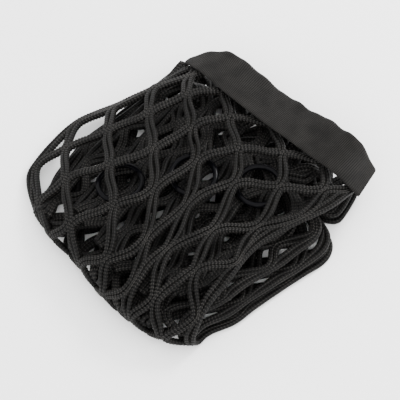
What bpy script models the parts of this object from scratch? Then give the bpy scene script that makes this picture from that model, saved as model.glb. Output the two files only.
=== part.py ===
"""A knotless cargo net with an elastic band along one end, folded up flat.

The net is laid out flat as a lattice of columns (along the band) and half rows (away from it). One
function, fold_point, carries any point of that flat net to its place in the folded bundle. The top run
lies over the whole pile, curls down over its front and passes under it as the bottom run. From there the
net goes back and forth in three more runs inside. X runs along the band, Y towards the band and Z up. In
the end all pieces move together, so that the origin is at the middle of the bundle's box, on the surface
that it rests on.
"""

import math

import bmesh
import bpy
from mathutils import Matrix, Vector

MM = 0.001

# Cord and band
CORD_WIDTH = 5.8 * MM
CORD_THICK = 5 * MM
CORD_EDGE_SHARE = 0.5  # thickness at a cord's two sides, as a share of its middle
BAND_THICK = 2 * MM
# All lengths from here on that lack MM, in tables and beside them, are in millimetres too.

# The flat net
LAST_COLUMN = 5.5  # the net is cut off halfway through its last cells
LAST_ROW = 40
CURVED_LEG = 0.35  # how far a cord bends towards its joints, from 0, straight, to 1
TOP_SEGMENTS = 3
PLAIN_SEGMENTS = 1
TURN_PER_SEGMENT = math.radians(60)  # round a fold
TURN_SAMPLES = 12
NORMAL_STEP = 0.01  # columns or half rows
MITRE_REACH = 0.8  # the most of a segment's length that a sharp corner between two cords fills
SHARPEST_MITRE = -0.9  # cosine
INSET = 0.02  # any small inset that keeps the cells' faces apart until the corners are placed

# The top run, a line for each second row of joints: their places, at columns 0 to 6. The first line is
# sewn on under the band. The last is where the net turns under, at the front of the pile.
TOP_ROWS = (
    {
        "x": (-72, -63, -48, -8, 36, 70, 88),
        "y": (62, 66, 72, 71, 71, 71, 68),
        "z": (14, 18, 25, 31, 31, 26, 15),
    },
    {
        "x": (-84, -72, -46, -12, 33, 70, 75),
        "y": (30, 36, 41, 45, 46, 41, 31),
        "z": (9, 24, 36, 38.5, 38.5, 35.5, 32),
    },
    {
        "x": (-101, -73, -35, -7, 24, 56, 67),
        "y": (-15, -10, -7, 4, 7, -7, -16),
        "z": (7, 26, 38.5, 38.5, 38.5, 36, 32),
    },
    {
        "x": (-99, -68, -26, 6, 20, 46, 80),
        "y": (-51, -57, -57, -63, -60, -59, -56),
        "z": (6, 25, 38.5, 38.5, 38.5, 37, 30),
    },
    {
        "x": (-69, -53, -24, 2, 29, 55, 78),
        "y": (-80, -89, -98, -107, -110, -102, -82),
        "z": (5, 12, 15, 16, 16, 13, 8),
    },
)
TABLE_COLUMNS = 6
CURL_ROW = 6  # where the top run starts to curl down
FRONT_ROW = 8
UNDER_ROW = 9.5  # where it lies flat under the pile
UNDER_Y = 16  # how far back from the front
SPREAD_ROW = 11  # where the joints under the pile are evenly spaced again

# The folds after that, in order along the net: the row that each falls on, its furthest Y, and how much
# less far it reaches at the net's two sides.
FOLDS = (
    {"name": "under the front", "row": UNDER_ROW, "y": -90, "bow": 0},
    {"name": "low back", "row": 17.3, "y": 76, "bow": 12},
    {"name": "inner front", "row": 25.3, "y": -90, "bow": -22},
    {"name": "high back", "row": 33, "y": 68, "bow": 26},
    {"name": "loose end", "row": LAST_ROW, "y": -80, "bow": -22},
)

# The runs between those folds, from the lowest: the height of its cords' middle, in the thick of the pile
# and along its thinner left side, X of the net's left side, and how far the right side stays in from the rim.
RUNS = (
    {"name": "bottom", "z": 1.2, "side_z": 1.2, "left": -72, "inset": 0},
    {"name": "second", "z": 9.6, "side_z": 8, "left": -69, "inset": 3},
    {"name": "third", "z": 18, "side_z": 14.5, "left": -61, "inset": 10},
    {"name": "fourth", "z": 26.4, "side_z": 21, "left": -52, "inset": 26},
)
THIN_SIDE = (-60, -18)  # X, from the thin side to the thick of the pile
RIM = (68, 77, 82, 86, 90, 95, 80, 82, 76)  # X of the pile's right side, evenly spaced in Y
RIM_REACH = 80  # from Y = -RIM_REACH to RIM_REACH

# The band: places along its inner and its outer side, evenly spaced along it.
BAND_PATHS = {
    "inner": {
        "x": (-69, -50, -30, -10, 10, 30, 50, 70, 88),
        "y": (62, 60, 58, 56, 55, 55, 55, 56, 58),
        "z": (27, 35, 40, 42, 42.5, 42.5, 42, 39.5, 26),
    },
    "outer": {
        "x": (-70, -54, -33, -10, 10, 30, 50, 69, 81),
        "y": (76, 85, 87, 87, 87, 87, 87, 87, 87),
        "z": (5, 23, 31.5, 31.5, 33, 35, 37.5, 34.5, 14),
    },
}
BAND_SIDES = (28, 3)  # steps along it and across it

# Rings that lie loose between the fourth and the top runs: their middles, and how far the right side of
# each is raised
RING_RADIUS = 15 * MM  # to the middle of the bar
BAR_RADIUS = 2 * MM
RING_SIDES = (20, 6)  # round the ring and round its bar
RINGS = (
    {"x": -39, "y": -37, "z": 28.8, "raised": math.radians(10)},
    {"x": -4, "y": -2, "z": 31.3, "raised": 0},
    {"x": 35, "y": 20, "z": 31.3, "raised": 0},
)

COLOURS = {
    "net": ((0.016, 0.015, 0.014, 1), 0.85, 0.0),
    "elastic_band": ((0.035, 0.032, 0.030, 1), 0.8, 0.0),
    "ring": ((0.02, 0.02, 0.022, 1), 0.25, 0.6),
}


def blend(values, share):
    """A smooth reading of a row of evenly spaced values, for a share from 0 to 1."""
    last = len(values) - 1
    place = min(max(share, 0), 1) * last
    index = min(int(place), last - 1)
    before = values[max(index - 1, 0)]
    start, end = values[index], values[index + 1]
    after = values[min(index + 2, last)]
    f = place - index
    slope_in, slope_out = (end - before) / 2, (after - start) / 2
    return (
        start * (1 - 3 * f**2 + 2 * f**3)
        + end * (3 * f**2 - 2 * f**3)
        + slope_in * (f - 2 * f**2 + f**3)
        + slope_out * (f**3 - f**2)
    )


def ease(value, low, high):
    """0 below low, 1 above high, and a smooth rise between."""
    f = min(max((value - low) / (high - low), 0), 1)
    return f * f * (3 - 2 * f)


def mix(start, end, share):
    return start + (end - start) * share


def top_place(column, row):
    """X, Y and Z on the top run, as its table has them."""
    return [
        blend([blend(line[axis], column / TABLE_COLUMNS) for line in TOP_ROWS], row / FRONT_ROW)
        for axis in ("x", "y", "z")
    ]


def curled_place(column, row):
    """X, Y and Z where the top run curls down over the pile's front and in under it."""
    x, front_y, front_z = top_place(column, FRONT_ROW)
    if row < FRONT_ROW:
        angle = math.pi / 2 * (row - CURL_ROW) / (FRONT_ROW - CURL_ROW)
        _, start_y, start_z = top_place(column, CURL_ROW)
        y, z = mix(start_y, front_y, math.sin(angle)), mix(front_z, start_z, math.cos(angle))
        return top_place(column, row)[0], y, z
    angle = math.pi / 2 * (row - FRONT_ROW) / (UNDER_ROW - FRONT_ROW)
    z = mix(front_z, RUNS[0]["z"], math.sin(angle))
    y = front_y + UNDER_Y * (1 - math.cos(angle))
    return side_place(column, row, y, x), y, z


def side_place(column, row, y, front_x):
    """X under the pile: as at the front at first, and evenly spaced between the net's sides further on."""
    x = mix(RUNS[0]["left"], right_side(0, y), column / LAST_COLUMN)
    return mix(front_x, x, ease(row, FRONT_ROW, SPREAD_ROW))


def right_side(index, y):
    return blend(RIM, (y / RIM_REACH + 1) / 2) - RUNS[index]["inset"]


def run_height(index, x):
    return mix(RUNS[index]["side_z"], RUNS[index]["z"], ease(x, *THIN_SIDE))


def fold_reach(index, column):
    """The furthest Y of a fold at a column."""
    if index == 0:
        return top_place(column, FRONT_ROW)[1] + UNDER_Y
    middle = LAST_COLUMN / 2
    return FOLDS[index]["y"] - FOLDS[index]["bow"] * ((column - middle) / middle) ** 2


def fold_radius(index):
    """Half the step in height at a fold, and 0 where the net turns under and at its loose end."""
    if index in (0, len(RUNS)):
        return 0
    return (RUNS[index]["z"] - RUNS[index - 1]["z"]) / 2


def inner_place(column, row):
    """X, Y and Z on the bottom run and on the runs inside the pile."""
    index = max(i for i in range(len(RUNS)) if row >= FOLDS[i]["row"])
    start_y, end_y = fold_reach(index, column), fold_reach(index + 1, column)
    way = math.copysign(1, end_y - start_y)
    start_r, end_r = fold_radius(index), fold_radius(index + 1)
    level = abs(end_y - start_y) - start_r - end_r
    lengths = (math.pi / 2 * start_r, level, math.pi / 2 * end_r)
    share = (row - FOLDS[index]["row"]) / (FOLDS[index + 1]["row"] - FOLDS[index]["row"])
    travel = share * sum(lengths)
    other, rise = index, 1
    if travel < lengths[0]:
        angle = travel / start_r
        y, other, rise = start_y + way * start_r * (1 - math.cos(angle)), index - 1, math.sin(angle)
    elif travel > lengths[0] + level and end_r:
        angle = (sum(lengths) - travel) / end_r
        y, other, rise = end_y - way * end_r * (1 - math.cos(angle)), index + 1, math.sin(angle)
    else:
        y = start_y + way * (start_r + travel - lengths[0])
    weight = (1 + rise) / 2
    left = mix(RUNS[other]["left"], RUNS[index]["left"], weight)
    right = mix(right_side(other, y), right_side(index, y), weight)
    x = mix(left, right, column / LAST_COLUMN)
    if row < SPREAD_ROW:
        x = side_place(column, row, y, top_place(column, FRONT_ROW)[0])
    return x, y, mix(run_height(other, x), run_height(index, x), weight)


def fold_point(column, row):
    """The place in the bundle of a point of the flat net."""
    row = min(max(row, 0), LAST_ROW)
    if row <= CURL_ROW:
        place = top_place(column, row)
    elif row < UNDER_ROW:
        place = curled_place(column, row)
    else:
        place = inner_place(column, row)
    return Vector(place) * MM


def fold_normal(column, row):
    """The net's own upper side at a point of the flat net, as a direction in the bundle."""
    along = fold_point(column + NORMAL_STEP, row) - fold_point(column - NORMAL_STEP, row)
    away = fold_point(column, row + NORMAL_STEP) - fold_point(column, row - NORMAL_STEP)
    return along.cross(away).normalized()


def fold_turn(start, end):
    """How far the net's surface turns along a straight line of the flat net."""
    points = [start.lerp(end, i / TURN_SAMPLES) for i in range(TURN_SAMPLES + 1)]
    normals = [fold_normal(point.x, point.y) for point in points]
    return sum(a.angle(b, 0) for a, b in zip(normals, normals[1:]))


def split_leg(edge):
    """Divides a cord between two joints, into more pieces where it shows and where it goes round a fold."""
    near, far = edge.verts
    start, end = near.co.copy(), far.co.copy()
    curved = 0 if edge.is_boundary else CURVED_LEG
    count = TOP_SEGMENTS if min(start.y, end.y) < FRONT_ROW else PLAIN_SEGMENTS
    count = max(count, math.ceil(fold_turn(start, end) / TURN_PER_SEGMENT))
    for step in range(1, count):
        piece = next(e for e in near.link_edges if e.other_vert(near) is far)
        point = bmesh.utils.edge_split(piece, near, 0.5)[1]
        f = step / count
        bent = f - curved * math.sin(2 * math.pi * f) / (2 * math.pi)
        point.co = Vector((mix(start.x, end.x, bent), mix(start.y, end.y, f), 0))
        near = point


def flat_lattice():
    """The flat net: a grid with a joint at each crossing and each square's middle, and no square sides inside."""
    columns, rows = math.ceil(LAST_COLUMN), LAST_ROW // 2
    bm = bmesh.new()
    bmesh.ops.create_grid(bm, x_segments=columns, y_segments=rows, size=0.5)
    for vert in bm.verts:
        vert.co = Vector(((vert.co.x + 0.5) * columns, (vert.co.y + 0.5) * LAST_ROW, 0))
    sides = [edge for edge in bm.edges if not edge.is_boundary]
    bmesh.ops.poke(bm, faces=bm.faces[:])
    bmesh.ops.dissolve_edges(bm, edges=sides)
    whole = bm.verts[:] + bm.edges[:] + bm.faces[:]
    cut = Vector((LAST_COLUMN, 0, 0))
    bmesh.ops.bisect_plane(
        bm, geom=whole, dist=NORMAL_STEP, plane_co=cut, plane_no=(1, 0, 0), clear_outer=True
    )
    for edge in bm.edges[:]:
        split_leg(edge)
    return bm


def corner_offset(point, before, after, normal):
    """The step from a corner of a cell to the cords' edge, half a cord's width in, in the plane of normal."""
    into = point - before
    out = after - point
    side_in = normal.cross(into).normalized()
    side_out = normal.cross(out).normalized()
    step = (side_in + side_out) * CORD_WIDTH / 2 / (1 + max(side_in.dot(side_out), SHARPEST_MITRE))
    reach = max(abs(step.dot(into)) / into.length_squared, abs(step.dot(out)) / out.length_squared)
    return step * min(1, MITRE_REACH / max(reach, MITRE_REACH))


def folded_net():
    """Strips of cord width along the lattice, folded up and thickened."""
    bm = flat_lattice()
    joints = set(bm.verts)
    rims = [vert for vert in bm.verts if vert.is_boundary]
    cells = bm.faces[:]
    bmesh.ops.inset_individual(bm, faces=cells, thickness=INSET)
    places = {vert: fold_point(vert.co.x, vert.co.y) for vert in joints}
    normals = {vert: fold_normal(vert.co.x, vert.co.y) for vert in joints}
    source = {}
    for cell in cells:
        for vert in cell.verts:
            source[vert] = next(e.other_vert(vert) for e in vert.link_edges if e.other_vert(vert) in joints)
    moved = {}
    for cell in cells:
        for loop in cell.loops:
            vert = source[loop.vert]
            before, after = source[loop.link_loop_prev.vert], source[loop.link_loop_next.vert]
            step = corner_offset(places[vert], places[before], places[after], normals[vert])
            moved[loop.vert] = places[vert] + step
    for vert in rims:
        before, after = rim_neighbours(vert)
        step = corner_offset(places[vert], places[before], places[after], normals[vert])
        moved[vert] = places[vert] - step
    for vert in joints:
        vert.co = moved.get(vert, places[vert])
    for vert in source:
        vert.co = moved[vert]
    bmesh.ops.delete(bm, geom=cells, context="FACES_ONLY")
    bm.verts.index_update()
    middles = [vert.index for vert in joints if vert not in moved]
    mesh = bpy.data.meshes.new("net_strips")
    bm.to_mesh(mesh)
    bm.free()
    strips = bpy.data.objects.new("net_strips", mesh)
    bpy.context.scene.collection.objects.link(strips)
    strips.vertex_groups.new(name="middle").add(middles, 1, "REPLACE")
    thicken = strips.modifiers.new("cord thickness", "SOLIDIFY")
    thicken.thickness = CORD_THICK
    thicken.offset = 0
    thicken.vertex_group = "middle"
    thicken.thickness_vertex_group = CORD_EDGE_SHARE
    return settled_copy(strips, "net")


def rim_neighbours(vert):
    """The rim vertices before and after this one, with the net on the left."""
    before = after = None
    for edge in vert.link_edges:
        if edge.is_boundary:
            loop = edge.link_loops[0]
            if loop.vert is vert:
                after = edge.other_vert(vert)
            else:
                before = edge.other_vert(vert)
    return before, after


def settled_copy(source, name):
    """The finished mesh of an object, with all that would dip below the surface pressed flat on it."""
    graph = bpy.context.evaluated_depsgraph_get()
    mesh = bpy.data.meshes.new_from_object(source.evaluated_get(graph))
    for vert in mesh.vertices:
        vert.co.z = max(vert.co.z, 0)
    bpy.data.objects.remove(source)
    return bpy.data.objects.new(name, mesh)


def band_point(along, across):
    """A point of the band's middle surface, for shares of its length and of its width."""
    inner, outer = (
        Vector([blend(BAND_PATHS[side][axis], along) for axis in ("x", "y", "z")])
        for side in ("inner", "outer")
    )
    return inner.lerp(outer, across) * MM


def elastic_band():
    """The band: one strip that lies over the net's end."""
    bm = bmesh.new()
    bmesh.ops.create_grid(bm, x_segments=BAND_SIDES[0], y_segments=BAND_SIDES[1], size=0.5)
    for vert in bm.verts:
        vert.co = band_point(vert.co.x + 0.5, vert.co.y + 0.5)
    mesh = bpy.data.meshes.new("band_strip")
    bm.to_mesh(mesh)
    bm.free()
    strip = bpy.data.objects.new("band_strip", mesh)
    bpy.context.scene.collection.objects.link(strip)
    thicken = strip.modifiers.new("band thickness", "SOLIDIFY")
    thicken.thickness = BAND_THICK
    thicken.offset = 0
    return settled_copy(strip, "elastic_band")


def ring(number, place):
    """A plain round ring that lies on the fourth run."""
    bpy.ops.mesh.primitive_torus_add(
        major_radius=RING_RADIUS,
        minor_radius=BAR_RADIUS,
        major_segments=RING_SIDES[0],
        minor_segments=RING_SIDES[1],
        location=Vector((place["x"], place["y"], place["z"])) * MM,
        rotation=(0, -place["raised"], 0),
    )
    made = bpy.context.object
    made.name = f"ring_{number}"
    return made


def centre(pieces):
    """Moves all the pieces together, to stand round the origin."""
    bpy.context.view_layer.update()
    points = [piece.matrix_world @ vert.co for piece in pieces for vert in piece.data.vertices]
    low, high = (Vector(pick(point[i] for point in points) for i in range(3)) for pick in (min, max))
    for piece in pieces:
        piece.data.transform(Matrix.Translation(-(low + high).xy.to_3d() / 2) @ piece.matrix_world)
        piece.matrix_world = Matrix()


def painted(obj, finish):
    """Gives a piece its colour, roughness and metallic value."""
    colour, roughness, metallic = COLOURS[finish]
    material = bpy.data.materials.get(finish) or bpy.data.materials.new(finish)
    material.use_nodes = True
    shader = material.node_tree.nodes["Principled BSDF"]
    shader.inputs["Base Color"].default_value = colour
    shader.inputs["Roughness"].default_value = roughness
    shader.inputs["Metallic"].default_value = metallic
    obj.data.materials.clear()
    obj.data.materials.append(material)
    return obj


def main():
    for obj in list(bpy.data.objects):
        bpy.data.objects.remove(obj)
    parts = bpy.data.collections.new("folded cargo net")
    bpy.context.scene.collection.children.link(parts)
    pieces = [painted(folded_net(), "net"), painted(elastic_band(), "elastic_band")]
    for number, place in enumerate(RINGS, 1):
        pieces.append(painted(ring(number, place), "ring"))
    for piece in pieces:
        for holder in list(piece.users_collection):
            holder.objects.unlink(piece)
        parts.objects.link(piece)
        piece.data.shade_smooth()
    centre(pieces)


main()
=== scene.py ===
import math

import bpy
import numpy as np
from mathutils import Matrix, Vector


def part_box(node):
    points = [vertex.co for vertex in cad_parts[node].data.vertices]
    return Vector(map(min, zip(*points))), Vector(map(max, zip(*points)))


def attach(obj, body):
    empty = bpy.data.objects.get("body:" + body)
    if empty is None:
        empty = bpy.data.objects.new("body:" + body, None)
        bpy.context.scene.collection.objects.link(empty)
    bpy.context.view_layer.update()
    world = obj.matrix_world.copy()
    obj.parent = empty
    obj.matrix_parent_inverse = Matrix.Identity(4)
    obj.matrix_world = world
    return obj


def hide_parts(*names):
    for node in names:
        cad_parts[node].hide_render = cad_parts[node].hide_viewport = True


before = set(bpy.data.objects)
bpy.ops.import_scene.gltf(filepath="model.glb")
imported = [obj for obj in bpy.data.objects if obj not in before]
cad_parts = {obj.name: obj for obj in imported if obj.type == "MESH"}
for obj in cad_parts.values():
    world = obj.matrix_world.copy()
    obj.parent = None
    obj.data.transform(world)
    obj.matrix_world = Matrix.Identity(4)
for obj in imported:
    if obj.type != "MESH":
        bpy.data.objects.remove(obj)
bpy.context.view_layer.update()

MM = 0.001


# ---- Net ----
# Black knotless netting of polyester cord, folded to and fro into a flat pile. Every leg is a pair of
# knitted chains. Where legs meet, the two outer chains turn back and the two inner ones cross, so a chain
# goes two legs one way and then two legs back.
#
# The tables are in millimetres, in the frame that the net was laid out in. SHIFT moves them to the CAD's.
ring_low, ring_high = (np.array(corner, float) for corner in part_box("ring_2"))
RING_2_PLACE = np.array((-4.0, -2.0))
SHIFT = np.append((ring_low + ring_high)[:2] / 2 / MM - RING_2_PLACE, 0.0)

# The flat net's columns run along the band, and its half rows away from it. The top run follows five lines
# across it, from the band to the front, each given at seven places from left to right.
LAST_COLUMN = 5.5
LAST_ROW = 40
TOP_ROWS = (
    {
        "x": (-73, -60, -46, -8, 36, 70, 88),
        "y": (70, 72, 74, 71, 71, 71, 68),
        "z": (16, 21, 27, 31, 31, 26, 15),
    },
    {
        "x": (-85, -72, -46, -12, 33, 72, 84),
        "y": (26, 36, 41, 45, 46, 43, 36),
        "z": (10, 24, 36, 38.5, 38.5, 35.5, 31),
    },
    {
        "x": (-100.5, -73, -35, -7, 24, 56, 67),
        "y": (-11, -10, -7, 4, 7, -7, -16),
        "z": (8, 26, 38.5, 38.5, 38.5, 36, 32),
    },
    {
        "x": (-100, -68, -26, 6, 20, 46, 80),
        "y": (-55, -57, -57, -63, -60, -59, -56),
        "z": (6, 25, 38.5, 38.5, 38.5, 37, 30),
    },
    {
        "x": (-71, -54, -26, 2, 29, 56, 78),
        "y": (-83, -90, -96, -102, -105, -100, -82),
        "z": (5, 12, 15, 16, 16, 13, 8),
    },
)
TABLE_COLUMNS = 6
TUCK = (4.5, -2.3, 0)  # how far the left side is drawn in next to the band
TUCK_ROW, TUCK_ROWS, TUCK_COLUMNS = 1.1, 0.6, 0.7

# The net curls down round the front and then goes to and fro below, between folds at the back and the front.
# A fold lies at its own y, less by its bow at both ends, or so far behind the top run's front line.
CURL_ROW, FRONT_ROW, UNDER_ROW, SPREAD_ROW = 6, 8, 9.5, 11
UNDER_Y = 7
FOLDS = (
    {"row": UNDER_ROW, "behind": UNDER_Y},
    {"row": 17.3, "y": 77, "bow": 5},
    {"row": 25.3, "behind": 2},
    {"row": 33, "y": 71, "bow": 14},
    {"row": LAST_ROW, "behind": 13},
)
RUNS = (
    {"z": 2.5, "side_z": 2.5, "left": -76, "bulge": 12, "inset": 0},
    {"z": 9.6, "side_z": 8, "left": -73, "bulge": 11, "inset": 3},
    {"z": 18, "side_z": 14.5, "left": -67, "bulge": 7, "inset": 10},
    {"z": 26.4, "side_z": 21, "left": -52, "bulge": 0, "inset": 26},
)
BULGE_PLACE, BULGE_REACH = -20, 50
THIN_SIDE = (-60, -18)  # the lower runs sink to side_z between these, towards the left
RIM = (69, 77, 80, 84, 90, 93, 84, 81, 77)  # the right side, from the front to the back
RIM_REACH = 80
NOTCH, NOTCH_PLACE, NOTCH_REACH = 15, 37.5, 5


def blend(values, share):
    """The value at a share of the way along a smooth curve through the values."""
    last = len(values) - 1
    place = min(max(share, 0), 1) * last
    index = min(int(place), last - 1)
    before = values[max(index - 1, 0)]
    start, end = values[index], values[index + 1]
    after = values[min(index + 2, last)]
    f = place - index
    slope_in, slope_out = (end - before) / 2, (after - start) / 2
    return (
        start * (1 - 3 * f**2 + 2 * f**3)
        + end * (3 * f**2 - 2 * f**3)
        + slope_in * (f - 2 * f**2 + f**3)
        + slope_out * (f**3 - f**2)
    )


def ease(value, low, high):
    f = min(max((value - low) / (high - low), 0), 1)
    return f * f * (3 - 2 * f)


def mix(start, end, share):
    return start + (end - start) * share


def hump(value, place, reach):
    return math.exp(-(((value - place) / reach) ** 2))


def top_place(column, row):
    """A place on the top run."""
    tuck = hump(column, 0, TUCK_COLUMNS) * hump(row, TUCK_ROW, TUCK_ROWS)
    place = []
    for axis, shift in zip(("x", "y", "z"), TUCK):
        down_column = [blend(line[axis], column / TABLE_COLUMNS) for line in TOP_ROWS]
        place.append(blend(down_column, row / FRONT_ROW) + shift * tuck)
    return place


def left_side(index, y):
    return RUNS[index]["left"] - RUNS[index]["bulge"] * hump(y, BULGE_PLACE, BULGE_REACH)


def right_side(index, y):
    rim = blend(RIM, (y / RIM_REACH + 1) / 2)
    return rim - RUNS[index]["inset"] - NOTCH * hump(y, NOTCH_PLACE, NOTCH_REACH)


def side_place(column, row, y, front_x):
    """x below the curl, where the net spreads to the lower runs' width."""
    x = mix(left_side(0, y), right_side(0, y), column / LAST_COLUMN)
    return mix(front_x, x, ease(row, FRONT_ROW, SPREAD_ROW))


def run_height(index, x):
    return mix(RUNS[index]["side_z"], RUNS[index]["z"], ease(x, *THIN_SIDE))


def fold_reach(index, column):
    if "behind" in FOLDS[index]:
        return top_place(column, FRONT_ROW)[1] + FOLDS[index]["behind"]
    middle = LAST_COLUMN / 2
    return FOLDS[index]["y"] - FOLDS[index]["bow"] * ((column - middle) / middle) ** 2


def fold_radius(index):
    if index in (0, len(RUNS)):
        return 0
    return (RUNS[index]["z"] - RUNS[index - 1]["z"]) / 2


def curled_place(column, row):
    """A place where the top run curls down round the front."""
    x, front_y, front_z = top_place(column, FRONT_ROW)
    if row < FRONT_ROW:
        angle = math.pi / 2 * (row - CURL_ROW) / (FRONT_ROW - CURL_ROW)
        _, start_y, start_z = top_place(column, CURL_ROW)
        y, z = mix(start_y, front_y, math.sin(angle)), mix(front_z, start_z, math.cos(angle))
        return top_place(column, row)[0], y, z
    angle = math.pi / 2 * (row - FRONT_ROW) / (UNDER_ROW - FRONT_ROW)
    z = mix(front_z, RUNS[0]["z"], math.sin(angle))
    y = front_y + UNDER_Y * (1 - math.cos(angle))
    return side_place(column, row, y, x), y, z


def inner_place(column, row):
    """A place on one of the lower runs, or round the fold at either end of it."""
    index = max(i for i in range(len(RUNS)) if row >= FOLDS[i]["row"])
    start_y, end_y = fold_reach(index, column), fold_reach(index + 1, column)
    way = math.copysign(1, end_y - start_y)
    start_r, end_r = fold_radius(index), fold_radius(index + 1)
    level = abs(end_y - start_y) - start_r - end_r
    lengths = (math.pi / 2 * start_r, level, math.pi / 2 * end_r)
    share = (row - FOLDS[index]["row"]) / (FOLDS[index + 1]["row"] - FOLDS[index]["row"])
    travel = share * sum(lengths)
    other, rise = index, 1
    if travel < lengths[0]:
        angle = travel / start_r
        y, other, rise = start_y + way * start_r * (1 - math.cos(angle)), index - 1, math.sin(angle)
    elif travel > lengths[0] + level and end_r:
        angle = (sum(lengths) - travel) / end_r
        y, other, rise = end_y - way * end_r * (1 - math.cos(angle)), index + 1, math.sin(angle)
    else:
        y = start_y + way * (start_r + travel - lengths[0])
    weight = (1 + rise) / 2
    left = mix(left_side(other, y), left_side(index, y), weight)
    right = mix(right_side(other, y), right_side(index, y), weight)
    x = mix(left, right, column / LAST_COLUMN)
    if row < SPREAD_ROW:
        x = side_place(column, row, y, top_place(column, FRONT_ROW)[0])
    return x, y, mix(run_height(other, x), run_height(index, x), weight)


def fold_point(column, row):
    """Where a column and a half row of the flat net lie in the folded pile."""
    row = min(max(row, 0), LAST_ROW)
    if row <= CURL_ROW:
        return top_place(column, row)
    return curled_place(column, row) if row < UNDER_ROW else inner_place(column, row)


# The chains' course over the net. A leg that runs towards the right is open a little in its middle, and its
# stitches are fainter there.
CHAIN_PERIOD = 4  # rows
LEG_CURVE = 0.4
TURN_OFFSET = 2.5  # of a chain that turns back, from the joint's middle
LEG_OPENING = 0.45
LEG_FADE = 0.45
EDGE_CHAINS = {
    "left": {"column": 0, "offset": -1.6, "strength": 0.5, "seed": -3},
    "right": {"column": LAST_COLUMN, "offset": 1.6, "strength": 0.8, "seed": 15},
}
LEFT_BUMPS = ((5.3, 0.6, 1), (6.35, 0.4, -2.2), (7.4, 0.5, 3), (8.5, 0.3, -3.6))  # row, rows, size

# Unevenness of the chains, as waves: their size, how fast they turn with the row, the column and the chain,
# and where they start. The sway and the lift grow where the net is loose, and the sway fades at both sides.
SHAKE = ((0.4, 1.9, 4, 0, 0), (0.12, 3.7, 0, 1.7, 0))
SWAY = ((5.02, 0.72, 1.12, 0, 5.63), (2.5, 1.79, -3.1, 0, 4.73), (1.4, 3.46, -0.6, 0, 4.8))
RISE = ((0.3, 2.6, 3, 0, 0), (0.1, 5, 0, 1, 0))
LIFT = ((0.5, 1.3, 2, 0, 0),)
FRONT_LOOSE, FRONT_LOOSE_ROWS, UNDER_LOOSE_ROWS = 0.7, (4, 7), (9, 12)
SIDE_HOLD, SIDE_POWER = 0.85, 4


def chain_at(first_column, first_row, row):
    """Column, sideways offset and stitch strength of a chain at any half row."""
    joint = math.floor(row)
    f = row - joint
    phase = (joint - first_row) % CHAIN_PERIOD
    start, end = ((0, 0.5), (0.5, 1), (1, 0.5), (0.5, 0))[int(phase)]
    bent = f - LEG_CURVE * math.sin(2 * math.pi * f) / (2 * math.pi)
    column = first_column + mix(start, end, bent)
    offset, strength = TURN_OFFSET * math.cos(math.pi / 2 * (phase + f)), 1
    if end > start:
        offset *= 1 + LEG_OPENING * math.sin(math.pi * f) ** 2
        strength -= LEG_FADE * math.sin(math.pi * f) ** 2
    return min(max(column, 0), LAST_COLUMN), offset, strength


def waves(table, column, row, seed):
    return sum(
        high * math.sin(by_row * row + by_column * column + by_seed * seed + start)
        for high, by_row, by_column, by_seed, start in table
    )


def wander(column, row, seed):
    """How far a chain strays sideways and upwards."""
    loose = max(FRONT_LOOSE * ease(row, *FRONT_LOOSE_ROWS), ease(row, *UNDER_LOOSE_ROWS))
    held = 1 - SIDE_HOLD * abs(2 * column / LAST_COLUMN - 1) ** SIDE_POWER
    sideways = waves(SHAKE, column, row, seed) + waves(SWAY, column, row, seed) * held * loose
    upwards = waves(RISE, column, row, seed) + waves(LIFT, column, row, seed) * loose
    return sideways, upwards


def surface_frame(column, row):
    """The folded net's sideways direction and its normal."""
    step = 0.02
    along = np.subtract(fold_point(column + step, row), fold_point(column - step, row))
    away = np.subtract(fold_point(column, row + step), fold_point(column, row - step))
    normal = np.cross(along, away)
    return along / np.linalg.norm(along), normal / np.linalg.norm(normal)


PATH_STEP = 0.06  # rows


def chain_path(chain, first_row, last_row):
    """Middle line, normals and stitch strength of a chain between two half rows, as one array."""
    count = int(round((last_row - first_row) / PATH_STEP)) + 1
    lines = []
    for row in np.linspace(first_row, last_row, max(2, count)):
        if chain in EDGE_CHAINS:
            column, offset, strength, seed = EDGE_CHAINS[chain].values()
        else:
            column, offset, strength = chain_at(*chain, row)
            seed = 2 * chain[0] + chain[1]
        if chain == "left":
            offset += sum(bump * hump(row, place, reach) for place, reach, bump in LEFT_BUMPS)
        sideways, height = wander(column, row, seed)
        along, normal = surface_frame(column, row)
        point = np.array(fold_point(column, row)) + along * (offset + sideways) + normal * height
        lines.append(np.concatenate([point, normal, [strength]]))
    return np.array(lines)


# A chain is knitted in the round: columns of V-shaped stitches, each a slanted half on either side. The same
# stitches are low relief on the top run's chains and are drawn in the cord's material, with painted shade
# between them and painted highlights on their crowns.
CHAIN_HALF_WIDTH, CHAIN_HALF_THICK = 1.75, 1.95
EDGE_HALF_WIDTH = 1.9
STITCH_PITCH = 2.3
STITCH_COLUMNS = 4
STITCH_SLANT = 0.4  # of the pitch
STITCH_GROOVE = 0.85
STITCH_MEAN = 0.32
STITCH_HEIGHT = 0.55
SMOOTH_LENGTH = 1.6
LOWEST = 0.05  # the net lies on the floor's surface, just above it


def smoothed(points, reach):
    """Points averaged with their neighbours, ends kept."""
    kernel = np.hanning(2 * reach + 3)[1:-1]
    kernel /= kernel.sum()
    padded = np.concatenate([np.repeat(points[:1], reach, 0), points, np.repeat(points[-1:], reach, 0)])
    return np.stack([np.convolve(padded[:, axis], kernel, "valid") for axis in range(points.shape[1])], 1)


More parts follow.
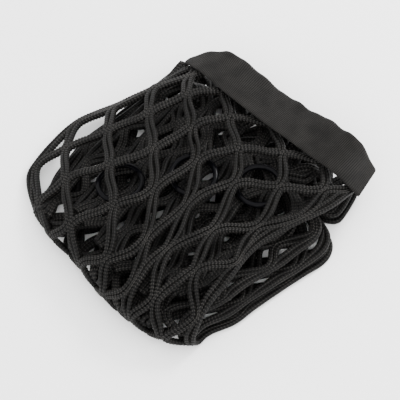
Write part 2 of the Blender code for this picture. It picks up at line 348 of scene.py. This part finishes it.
def cord_rings(lines, step, sides, height, half_width, half_thick):
    """Vertices of a swept cord ring by ring, each ring's place along it, and its stitches' strength."""
    lengths = np.concatenate([[0], np.cumsum(np.linalg.norm(np.diff(lines[:, :3], axis=0), axis=1))])
    places = np.linspace(0, lengths[-1], max(2, int(round(lengths[-1] / step)) + 1))
    packed = np.stack([np.interp(places, lengths, lines[:, axis]) for axis in range(lines.shape[1])], 1)
    reach = max(1, int(round(SMOOTH_LENGTH / step)))
    middle = smoothed(packed[:, :3], reach)
    normal = smoothed(packed[:, 3:6], reach)
    tangent = np.gradient(middle, axis=0)
    tangent /= np.linalg.norm(tangent, axis=1, keepdims=True)
    normal -= tangent * (normal * tangent).sum(1, keepdims=True)
    normal /= np.linalg.norm(normal, axis=1, keepdims=True)
    side = np.cross(tangent, normal)
    turns = np.arange(sides) / sides
    strength = np.repeat(packed[:, 6:7], sides, 1)
    half_v = 1 - 2 * np.abs((turns * STITCH_COLUMNS + 0.5) % 1 - 0.5)
    phase = places[:, None] / STITCH_PITCH + STITCH_SLANT * half_v[None, :]
    wave = 0.5 + 0.5 * np.cos(2 * math.pi * phase)
    stitch = wave * (1 - STITCH_GROOVE + STITCH_GROOVE * np.sin(math.pi * half_v))[None, :]
    relief = height * (stitch - STITCH_MEAN) * strength
    angles = 2 * math.pi * turns
    across = np.sin(angles)[None, :, None] * (half_width + relief)[:, :, None] * side[:, None, :]
    upward = np.cos(angles)[None, :, None] * (half_thick + relief)[:, :, None] * normal[:, None, :]
    return middle[:, None, :] + across + upward, places, strength


def cords_object(name, cords, look):
    """One mesh of swept cords, each closed at its ends, with lengths and turns as its UV map."""
    all_verts, all_quads, all_uvs, all_strengths, caps = [], [], [], [], []
    base = 0
    for verts, places, strength in cords:
        count, sides = verts.shape[:2]
        all_verts.append(verts.reshape(-1, 3))
        all_strengths.append(strength.ravel())
        ring, turn = np.meshgrid(np.arange(count - 1), np.arange(sides), indexing="ij")
        steps = ((0, 0), (0, 1), (1, 1), (1, 0))
        corners = [(ring + a) * sides + (turn + b) % sides for a, b in steps]
        all_quads.append(np.stack(corners, -1).reshape(-1, 4) + base)
        uv = [np.stack([places[ring + a] * MM, (turn + b) / sides], -1) for a, b in steps]
        all_uvs.append(np.stack(uv, -2).reshape(-1, 4, 2))
        caps.append(list(range(base + sides - 1, base - 1, -1)))
        caps.append(list(range(base + (count - 1) * sides, base + count * sides)))
        base += count * sides
    points = np.concatenate(all_verts) + SHIFT
    points[:, 2] = np.maximum(points[:, 2], LOWEST)
    points *= MM
    quads = np.concatenate(all_quads)
    cap_corners = [corner for cap in caps for corner in cap]
    mesh = bpy.data.meshes.new(name)
    mesh.vertices.add(len(points))
    mesh.vertices.foreach_set("co", points.ravel())
    mesh.loops.add(quads.size + len(cap_corners))
    mesh.loops.foreach_set("vertex_index", np.concatenate([quads.ravel(), cap_corners]).astype(np.int32))
    sizes = [4] * len(quads) + [len(cap) for cap in caps]
    mesh.polygons.add(len(sizes))
    mesh.polygons.foreach_set("loop_start", np.concatenate([[0], np.cumsum(sizes)[:-1]]).astype(np.int32))
    flat_uv = np.concatenate([np.concatenate(all_uvs).ravel(), np.zeros(2 * len(cap_corners))])
    mesh.uv_layers.new(name="UVMap").data.foreach_set("uv", flat_uv)
    strengths = mesh.attributes.new("strength", "FLOAT", "POINT")
    strengths.data.foreach_set("value", np.concatenate(all_strengths).astype(np.float32))
    mesh.update(calc_edges=True)
    mesh.validate()
    mesh.shade_smooth()
    mesh.materials.append(look)
    made = bpy.data.objects.new(name, mesh)
    bpy.context.scene.collection.objects.link(made)
    return made


# The material of a knitted fabric. It reads the UV map, with the length along a cord in metres and the share
# of a turn round it. Its three shades are painted shade between the stitches, their sides, and a painted
# highlight on their crowns.
KNIT_SPECULAR = 0.07
SHADE_TO_HIGHLIGHT_PLACES = (0.05, 0.4, 0.9)
CLOUDS = {"Scale": 90, "Detail": 4}
CLOUD_TINT = {"From Min": 0.3, "From Max": 0.7, "To Min": 0.65, "To Max": 1.35}
CROWN_BUMP = {"Strength": 0.6, "Distance": 0.0003}
# Painted shade between the stitches, the stitches' sides, and a painted highlight on their crowns.
CORD_PAINTED_SHADE_HIGHLIGHT = ((0.0002, 0.0002, 0.0002), (0.0014, 0.0013, 0.0012), (0.025, 0.0234, 0.0216))
CORD_ROUGHNESS = 0.5


def knit_material(name, shade_to_highlight, pitch, columns, groove, roughness):
    """A matt knitted fabric: V-shaped stitches in columns, or plain ribs where there are no columns, with
    painted shade in their grooves and painted highlights on their crowns.
    """
    look = bpy.data.materials.new(name)
    look.use_nodes = True
    nodes, links = look.node_tree.nodes, look.node_tree.links
    shader = nodes["Principled BSDF"]
    shader.inputs["Roughness"].default_value = roughness
    shader.inputs["Specular IOR Level"].default_value = KNIT_SPECULAR

    def node_with(kind, settings):
        node = nodes.new(kind)
        for socket, value in settings.items():
            node.inputs[socket].default_value = value
        return node

    def math_node(operation, *values):
        node = nodes.new("ShaderNodeMath")
        node.operation = operation
        for socket, value in zip(node.inputs, values):
            if isinstance(value, (int, float)):
                socket.default_value = value
            else:
                links.new(value, socket)
        return node.outputs["Value"]

    place = nodes.new("ShaderNodeTexCoord")
    parts = nodes.new("ShaderNodeSeparateXYZ")
    links.new(place.outputs["UV"], parts.inputs["Vector"])
    turned = math_node("MULTIPLY_ADD", parts.outputs["Y"], columns, 0.5)
    half_v = math_node("MULTIPLY", math_node("PINGPONG", turned, 0.5), 2)
    pitches = math_node("DIVIDE", parts.outputs["X"], pitch * MM)
    phase = math_node("MULTIPLY_ADD", half_v, STITCH_SLANT, pitches)
    wave = math_node("COSINE", math_node("MULTIPLY", phase, 2 * math.pi))
    along = math_node("MULTIPLY_ADD", wave, 0.5, 0.5)
    arch = math_node("SINE", math_node("MULTIPLY", half_v, math.pi))
    across = math_node("MULTIPLY_ADD", arch, groove, 1 - groove)
    stitch = math_node("MULTIPLY", along, across)
    strength = nodes.new("ShaderNodeAttribute")
    strength.attribute_name = "strength"
    rise = math_node("SUBTRACT", stitch, STITCH_MEAN)
    crown = math_node("MULTIPLY_ADD", rise, strength.outputs["Fac"], STITCH_MEAN)

    # The ramp paints shade between the stitches and a highlight on their crowns, from how high each stitch
    # stands.
    shade_highlight_ramp = nodes.new("ShaderNodeValToRGB")
    steps = shade_highlight_ramp.color_ramp.elements
    steps.new(SHADE_TO_HIGHLIGHT_PLACES[1])
    for step, step_place, shade in zip(steps, SHADE_TO_HIGHLIGHT_PLACES, shade_to_highlight):
        step.position = step_place
        step.color = (*shade, 1)
    links.new(crown, shade_highlight_ramp.inputs["Fac"])
    cloud = node_with("ShaderNodeTexNoise", CLOUDS)
    links.new(place.outputs["Object"], cloud.inputs["Vector"])
    reach = node_with("ShaderNodeMapRange", CLOUD_TINT)
    links.new(cloud.outputs["Fac"], reach.inputs["Value"])
    tint = nodes.new("ShaderNodeVectorMath")
    tint.operation = "SCALE"
    links.new(shade_highlight_ramp.outputs["Color"], tint.inputs[0])
    links.new(reach.outputs["Result"], tint.inputs["Scale"])
    links.new(tint.outputs["Vector"], shader.inputs["Base Color"])
    bump = node_with("ShaderNodeBump", CROWN_BUMP)
    links.new(crown, bump.inputs["Height"])
    links.new(bump.outputs["Normal"], shader.inputs["Normal"])
    return look


# The net's pieces: the top run side by side, and then one for each run below. Their widths are flat, in
# metres. The pile presses the lower runs' chains wider.
STITCHES = (STITCH_PITCH, STITCH_COLUMNS, STITCH_GROOVE)
CORD_LOOK = knit_material("knitted_cord", CORD_PAINTED_SHADE_HIGHLIGHT, *STITCHES, CORD_ROUGHNESS)
CHAINS = [(half / 2, start + half % 2) for half in range(-1, 11) for start in (0, 2)]
WHOLE = ["left", *CHAINS, "right"]
TOP = {"step": 0.46, "sides": 16, "height": STITCH_HEIGHT, "pressed": 1}
UNDER = {"step": 1.0, "sides": 10, "height": 0, "pressed": 1.2}
PIECES = (
    {"name": "net_top_left", "rows": (0, 9), "chains": ["left", *CHAINS[:8]], "width": 0.05, **TOP},
    {"name": "net_top_middle", "rows": (0, 9), "chains": CHAINS[8:16], "width": 0.055, **TOP},
    {"name": "net_top_right", "rows": (0, 9), "chains": [*CHAINS[16:], "right"], "width": 0.055, **TOP},
    {"name": "net_under", "rows": (9, 17.3), "chains": WHOLE, "width": 0.155, **UNDER},
    {"name": "net_second", "rows": (17.3, 25.3), "chains": WHOLE, "width": 0.15, **UNDER},
    {"name": "net_third", "rows": (25.3, 33), "chains": WHOLE, "width": 0.14, **UNDER},
    {"name": "net_fourth", "rows": (33, 40), "chains": WHOLE, "width": 0.13, **UNDER},
)
for piece in PIECES:
    cords = []
    for chain in piece["chains"]:
        halves = (CHAIN_HALF_WIDTH * piece["pressed"], CHAIN_HALF_THICK)
        if chain in EDGE_CHAINS:
            halves = (EDGE_HALF_WIDTH, EDGE_HALF_WIDTH)
        path = chain_path(chain, *piece["rows"])
        cords.append(cord_rings(path, piece["step"], piece["sides"], piece["height"], *halves))
    made = cords_object(piece["name"], cords, CORD_LOOK)
    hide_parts("net")
    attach(made, "root")


# ---- Elastic band ----
# One strip of charcoal elastic, ribbed across its width and sewn over the net's end. Its left end turns down
# over the pile's back corner, its right end is cut straight, and its outer edge is frilled.
BAND_PATHS = {
    "inner": {
        "x": (-71, -52, -30, -10, 10, 30, 50, 70, 89.5),
        "y": (68.5, 63, 58, 56, 55, 55, 55, 56, 59),
        "z": (20, 33, 40, 42, 42.5, 42.5, 42, 39.5, 26),
    },
    "outer": {
        "x": (-73, -58, -37, -12, 10, 30, 50, 69, 81.5),
        "y": (76, 86, 89.5, 88, 87, 87, 87.5, 87.5, 88),
        "z": (12, 27, 33.5, 31.5, 32.5, 36, 39, 36, 14),
    },
}
BAND_LENGTH, BAND_WIDTH, BAND_HALF_THICK = 170, 32, 0.9
BAND_STEPS = (680, 22)
RIB_PITCH, RIB_HEIGHT = 1.3, 0.16
FRILLS = ((1.1, 39, 0), (0.7, 71, 1))  # size, turn over the band's length, start
FRILL_POWER = 4
THIN_RIM = 0.35  # of the band's thickness
# Painted shade between the ribs, their sides, and a painted highlight on their crests.
BAND_PAINTED_SHADE_HIGHLIGHT = ((0.003, 0.0028, 0.0026), (0.0065, 0.006, 0.0056), (0.013, 0.0122, 0.0112))
BAND_ROUGHNESS = 0.7
BAND_LOOK = knit_material("ribbed_elastic", BAND_PAINTED_SHADE_HIGHLIGHT, RIB_PITCH, 0, 0, BAND_ROUGHNESS)


def band_place(along, across):
    inner, outer = (
        np.array([blend(BAND_PATHS[side][axis], along) for axis in ("x", "y", "z")])
        for side in ("inner", "outer")
    )
    return inner + (outer - inner) * across


def band_rings():
    """The band's outline across it, over its top and back along its underside, step by step along it."""
    count_u, count_v = BAND_STEPS
    u, v = np.arange(count_u + 1) / count_u, np.arange(count_v + 1) / count_v
    middle = np.array([[band_place(a, b) for b in v] for a in u])
    frill = sum(high * np.sin(u * turn + start) for high, turn, start in FRILLS)
    middle[:, :, 2] += frill[:, None] * v[None, :] ** FRILL_POWER
    du, dv = np.gradient(middle, axis=(0, 1))
    normal = np.cross(du, dv)
    normal /= np.linalg.norm(normal, axis=2, keepdims=True)
    rib = np.cos(2 * math.pi * u * BAND_LENGTH / RIB_PITCH)[:, None]
    rim = np.sqrt(np.clip(np.minimum(v, 1 - v) * BAND_WIDTH / BAND_HALF_THICK, 0, 1))[None, :]
    half = (BAND_HALF_THICK + RIB_HEIGHT * rib) * (THIN_RIM + (1 - THIN_RIM) * rim)
    top, low = middle + normal * half[:, :, None], middle - normal * half[:, :, None]
    if normal[count_u // 2, count_v // 2, 2] < 0:
        top, low = low, top
    verts = np.concatenate([top, low[:, ::-1]], axis=1)
    return verts, u * BAND_LENGTH, np.ones(verts.shape[:2])


band = cords_object("elastic_strip", [band_rings()], BAND_LOOK)
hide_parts("elastic_band")
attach(band, "root")


# ---- Rings ----
# Three rings of glossy black plastic that lie loose under the top run and show through its meshes. Each is
# one moulded hoop of round bar.
RINGS = (
    {"node": "ring_1", "x": -39, "y": -37, "z": 28.8, "raised": math.radians(10)},
    {"node": "ring_2", "x": -4, "y": -2, "z": 31.3, "raised": 0},
    {"node": "ring_3", "x": 35, "y": 20, "z": 31.3, "raised": 0},
)
RING_RADIUS, BAR_RADIUS = 15, 2
RING_STEPS, BAR_STEPS = 96, 24
RING_GLOSS = {"IOR": 1.3, "Roughness": 0.12, "Specular IOR Level": 0.12}


def plastic_material():
    look = bpy.data.materials.new("gloss_black")
    look.use_nodes = True
    shader = look.node_tree.nodes["Principled BSDF"]
    shader.inputs["Base Color"].default_value = (0.0015, 0.0015, 0.002, 1)
    for socket, value in RING_GLOSS.items():
        shader.inputs[socket].default_value = value
    return look


RING_LOOK = plastic_material()
for place in RINGS:
    bpy.ops.mesh.primitive_torus_add(
        major_radius=RING_RADIUS * MM,
        minor_radius=BAR_RADIUS * MM,
        major_segments=RING_STEPS,
        minor_segments=BAR_STEPS,
        location=Vector((place["x"] + SHIFT[0], place["y"] + SHIFT[1], place["z"])) * MM,
        rotation=(0, -place["raised"], 0),
    )
    made = bpy.context.object
    made.name = "loose_" + place["node"]
    bpy.ops.object.transform_apply(location=True, rotation=True, scale=True)
    made.data.shade_smooth()
    made.data.materials.append(RING_LOOK)
    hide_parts(place["node"])
    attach(made, "root")


# ---- Floor and light ----
# A plain pale floor, a soft key light from the back and a weak fill from the front right. The white world
# gives most of the light.
FLOOR_SIDE = 6  # metres
bpy.ops.mesh.primitive_plane_add(size=FLOOR_SIDE)
floor = bpy.context.object
floor.name = "floor"
floor_look = bpy.data.materials.new("floor")
floor_look.use_nodes = True
floor_shader = floor_look.node_tree.nodes["Principled BSDF"]
floor_shader.inputs["Base Color"].default_value = (0.95, 0.95, 0.95, 1)
floor_shader.inputs["Roughness"].default_value = 0.9
floor.data.materials.append(floor_look)

WORLD_STRENGTH = 3.2
world = bpy.data.worlds.new("studio")
world.use_nodes = True
world.node_tree.nodes["Background"].inputs["Color"].default_value = (1, 1, 1, 1)
world.node_tree.nodes["Background"].inputs["Strength"].default_value = WORLD_STRENGTH
bpy.context.scene.world = world

AIM = Vector(SHIFT) * MM
LIGHTS = (
    {"name": "key", "place": (0.1, 0.8, 0.7), "side": 0.3, "power": 12},
    {"name": "fill", "place": (0.7, -0.5, 0.6), "side": 0.8, "power": 4},
)
for lamp in LIGHTS:
    light = bpy.data.lights.new(lamp["name"], "AREA")
    light.size = lamp["side"]
    light.energy = lamp["power"]
    holder = bpy.data.objects.new(lamp["name"], light)
    holder.location = lamp["place"]
    holder.rotation_euler = (AIM - Vector(lamp["place"])).to_track_quat("-Z", "Y").to_euler()
    bpy.context.scene.collection.objects.link(holder)


# ---- Camera ----
# At the photo's angle, 40 degrees round from the front and 60 degrees up, with a long lens.
AZIMUTH, ELEVATION = math.radians(40), math.radians(60)
DISTANCE, LENS, SENSOR = 2.2675, 300, 36
toward = Vector((
    math.sin(AZIMUTH) * math.cos(ELEVATION),
    -math.cos(AZIMUTH) * math.cos(ELEVATION),
    math.sin(ELEVATION),
))
camera_data = bpy.data.cameras.new("camera")
camera_data.lens = LENS
camera_data.sensor_width = SENSOR
camera = bpy.data.objects.new("camera", camera_data)
camera.location = AIM + toward * DISTANCE
camera.rotation_euler = (-toward).to_track_quat("-Z", "Y").to_euler()
bpy.context.scene.collection.objects.link(camera)
bpy.context.scene.camera = camera
